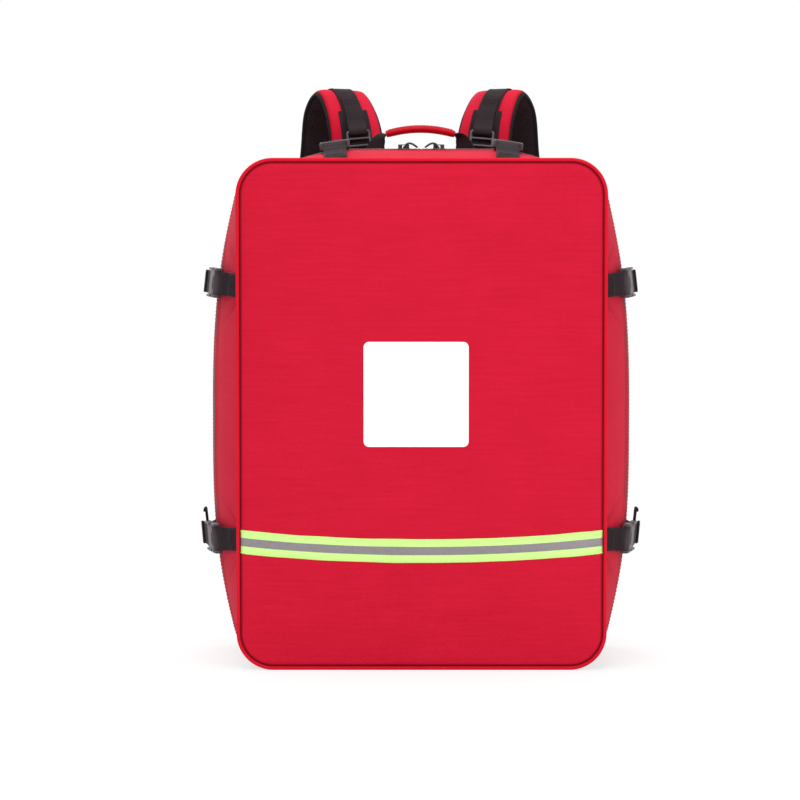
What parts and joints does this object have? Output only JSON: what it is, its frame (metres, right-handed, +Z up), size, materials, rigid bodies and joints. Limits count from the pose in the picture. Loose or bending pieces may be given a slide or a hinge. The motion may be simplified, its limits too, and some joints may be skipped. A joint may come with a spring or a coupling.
{
  "type": "trauma backpack",
  "caption": "Box-shaped fabric medical backpack with a zipped front lid that folds down, release-clip compression straps, padded shoulder straps and a grab handle.",
  "frame": {"origin": "middle of the base, on the surface that the pack stands on, half-way between the front and rear seams", "axes": "+Z up, -Y towards the front lid, +X to the right as seen from the front"},
  "size_m": [0.4746, 0.3483, 0.634],
  "materials": {
    "red_fabric": "heavy woven polyester, matt red",
    "red_piping": "smooth corded binding, red",
    "black_webbing": "woven webbing, black",
    "black_mesh": "open spacer mesh, black",
    "lining": "padded lining, dark grey",
    "zip_tape": "woven zip tape and coil, black",
    "sheet_plastic": "semi-stiff plastic sheet",
    "black_plastic": "moulded, satin, dark grey",
    "slider_metal": "die cast, dark plated",
    "lime_tape": "fluorescent woven edge",
    "silver_tape": "retroreflective silver",
    "white_patch": "smooth coated patch, white"
  },
  "bodies": {
    "pack": {"rear_gusset": "red_fabric", "back_panel": "black_mesh", "frame_sheet": "sheet_plastic", "back_pad_left": "black_mesh", "back_pad_right": "black_mesh", "lumbar_pad": "black_mesh", "rear_piping": "red_piping", "zip_half_pack": "zip_tape", "divider_lower": "lining", "divider_upper": "lining", "strap_rear_top_left": "black_webbing", "strap_rear_top_right": "black_webbing", "strap_rear_upper_left": "black_webbing", "strap_rear_upper_right": "black_webbing", "strap_rear_lower_left": "black_webbing", "strap_rear_lower_right": "black_webbing"},
    "lid": {"front_panel": "red_fabric", "lid_gusset": "red_fabric", "front_piping": "red_piping", "zip_half_lid": "zip_tape", "name_patch": "white_patch", "reflective_tape": "lime_tape", "reflective_stripe": "silver_tape", "lid_pocket": "black_mesh", "strap_front_top_left": "black_webbing", "strap_front_top_right": "black_webbing", "strap_front_upper_left": "black_webbing", "strap_front_upper_right": "black_webbing", "strap_front_lower_left": "black_webbing", "strap_front_lower_right": "black_webbing", "clip_socket_top_left": "black_plastic", "clip_socket_top_right": "black_plastic", "clip_socket_upper_left": "black_plastic", "clip_socket_upper_right": "black_plastic", "clip_socket_lower_left": "black_plastic", "clip_socket_lower_right": "black_plastic"},
    "grab_handle": {"handle_webbing": "black_webbing", "handle_grip": "red_piping"},
    "slider_left": {"zip_slider_left": "slider_metal"},
    "pull_left": {"zip_pull_left": "black_plastic"},
    "shoulder_strap_left": {"shoulder_pad_left": "red_fabric", "shoulder_webbing_left": "black_webbing", "lifter_webbing_left": "black_webbing", "lifter_buckle_left": "black_plastic", "strap_adjuster_left": "black_plastic", "shoulder_tail_left": "black_webbing"},
    "plug_top_left": {"clip_plug_top_left": "black_plastic"},
    "plug_upper_left": {"clip_plug_upper_left": "black_plastic"},
    "plug_lower_left": {"clip_plug_lower_left": "black_plastic"},
    "slider_right": {"zip_slider_right": "slider_metal"},
    "pull_right": {"zip_pull_right": "black_plastic"},
    "shoulder_strap_right": {"shoulder_pad_right": "red_fabric", "shoulder_webbing_right": "black_webbing", "lifter_webbing_right": "black_webbing", "lifter_buckle_right": "black_plastic", "strap_adjuster_right": "black_plastic", "shoulder_tail_right": "black_webbing"},
    "plug_top_right": {"clip_plug_top_right": "black_plastic"},
    "plug_upper_right": {"clip_plug_upper_right": "black_plastic"},
    "plug_lower_right": {"clip_plug_lower_right": "black_plastic"}
  },
  "joints": [
    {"name": "front_lid", "type": "hinge", "parent": "pack", "child": "lid", "pos_m": [0, -0.106, 0], "axis": [1, 0, 0], "range_deg": [0, 80]},
    {"name": "zip_slide_left", "type": "slide", "parent": "pack", "child": "slider_left", "axis": [-1, 0, 0], "range_m": [0, 0.05]},
    {"name": "zip_pull_left", "type": "hinge", "parent": "slider_left", "child": "pull_left", "pos_m": [-0.019, -0.03025, 0.55888], "axis": [0, -0.9968, -0.0805], "range_deg": [0, 110]},
    {"name": "shoulder_strap_left", "type": "hinge", "parent": "pack", "child": "shoulder_strap_left", "pos_m": [-0.07, 0.1063, 0.5404], "axis": [1, 0, 0], "range_deg": [0, 15]},
    {"name": "clip_top_left", "type": "slide", "parent": "pack", "child": "plug_top_left", "axis": [-0.0076, 0.9985, 0.0548], "range_m": [0, 0.017]},
    {"name": "clip_upper_left", "type": "slide", "parent": "pack", "child": "plug_upper_left", "axis": [-0.186, 0.9823, 0.0208], "range_m": [0, 0.017]},
    {"name": "clip_lower_left", "type": "slide", "parent": "pack", "child": "plug_lower_left", "axis": [-0.2061, 0.9783, -0.0188], "range_m": [0, 0.017]},
    {"name": "zip_slide_right", "type": "slide", "parent": "pack", "child": "slider_right", "axis": [1, 0, 0], "range_m": [0, 0.05]},
    {"name": "zip_pull_right", "type": "hinge", "parent": "slider_right", "child": "pull_right", "pos_m": [0.019, -0.03025, 0.55888], "axis": [0, 0.9968, 0.0805], "range_deg": [0, 110]},
    {"name": "shoulder_strap_right", "type": "hinge", "parent": "pack", "child": "shoulder_strap_right", "pos_m": [0.07, 0.1063, 0.5404], "axis": [1, 0, 0], "range_deg": [0, 15]},
    {"name": "clip_top_right", "type": "slide", "parent": "pack", "child": "plug_top_right", "axis": [0.0076, 0.9985, 0.0548], "range_m": [0, 0.017]},
    {"name": "clip_upper_right", "type": "slide", "parent": "pack", "child": "plug_upper_right", "axis": [0.186, 0.9823, 0.0208], "range_m": [0, 0.017]},
    {"name": "clip_lower_right", "type": "slide", "parent": "pack", "child": "plug_lower_right", "axis": [0.2061, 0.9783, -0.0188], "range_m": [0, 0.017]},
    {"name": "handle_fold", "type": "hinge", "parent": "pack", "child": "grab_handle", "pos_m": [0, 0.076, 0.5538], "axis": [1, 0, 0], "range_deg": [0, 60], "stiffness_Nm_per_rad": 0.06}
  ]
}
